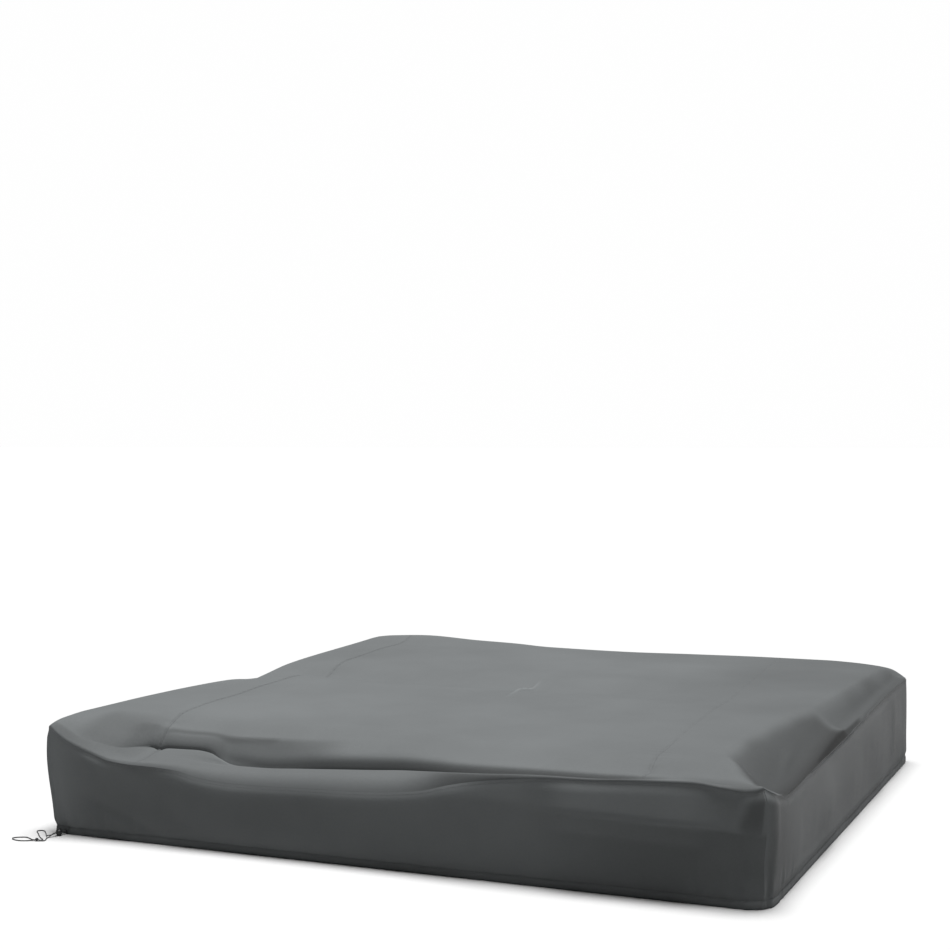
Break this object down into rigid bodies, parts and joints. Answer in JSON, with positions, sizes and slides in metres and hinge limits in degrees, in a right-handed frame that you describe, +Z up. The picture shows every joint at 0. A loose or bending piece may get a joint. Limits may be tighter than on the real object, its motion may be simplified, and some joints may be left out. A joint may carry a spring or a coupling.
{
  "type": "spa cover",
  "caption": "Square soft weather cover for a spa: a sewn fabric cap with skirts, open below, with a drawcord hem, a spring cord lock and a cord tail at one corner.",
  "frame": {"origin": "on the floor under the middle of the cover, at the height of the hem's lower edge", "axes": "+X to the cover's right and +Y to its rear, both along its sides, with the cord lock at the front left corner; +Z up"},
  "size_m": [2.1914, 2.2547, 0.3597],
  "materials": {
    "cover_fabric": "matte",
    "hem_fabric": "matte",
    "binding_tape": "matte",
    "label": "satin",
    "cord": "matte",
    "eyelet": "satin",
    "lock_plastic": "satin",
    "spring_steel": "satin"
  },
  "bodies": {
    "cover": {"top_centre_panel": "cover_fabric", "top_left_panel": "cover_fabric", "top_right_panel": "cover_fabric", "front_skirt": "cover_fabric", "rear_skirt": "cover_fabric", "left_skirt": "cover_fabric", "right_skirt": "cover_fabric", "front_hem": "hem_fabric", "rear_hem": "hem_fabric", "left_hem": "hem_fabric", "right_hem": "hem_fabric", "front_rim_binding": "binding_tape", "rear_rim_binding": "binding_tape", "left_rim_binding": "binding_tape", "right_rim_binding": "binding_tape", "front_left_corner_tape": "binding_tape", "front_right_corner_tape": "binding_tape", "rear_left_corner_tape": "binding_tape", "rear_right_corner_tape": "binding_tape", "left_top_seam_tape": "binding_tape", "right_top_seam_tape": "binding_tape", "care_label": "label", "hem_drawcord": "cord", "eyelet_patch": "hem_fabric", "cord_eyelet": "eyelet", "tail_cord": "cord", "tail_knot": "cord"},
    "cord_lock": {"cord_lock_body": "lock_plastic", "cord_lock_spring": "spring_steel"},
    "lock_button": {"cord_lock_button": "lock_plastic"}
  },
  "joints": [
    {"name": "cord_lock_slide", "type": "slide", "parent": "cover", "child": "cord_lock", "axis": [-0.309, -0.9511, 0], "range_m": [-0.015, 0.004]},
    {"name": "button_press", "type": "slide", "parent": "cord_lock", "child": "lock_button", "axis": [0, 0, -1], "range_m": [0, 0.0025], "stiffness_N_per_m": 300, "springref_m": -0.004, "deforming": ["cord_lock_spring"]}
  ]
}
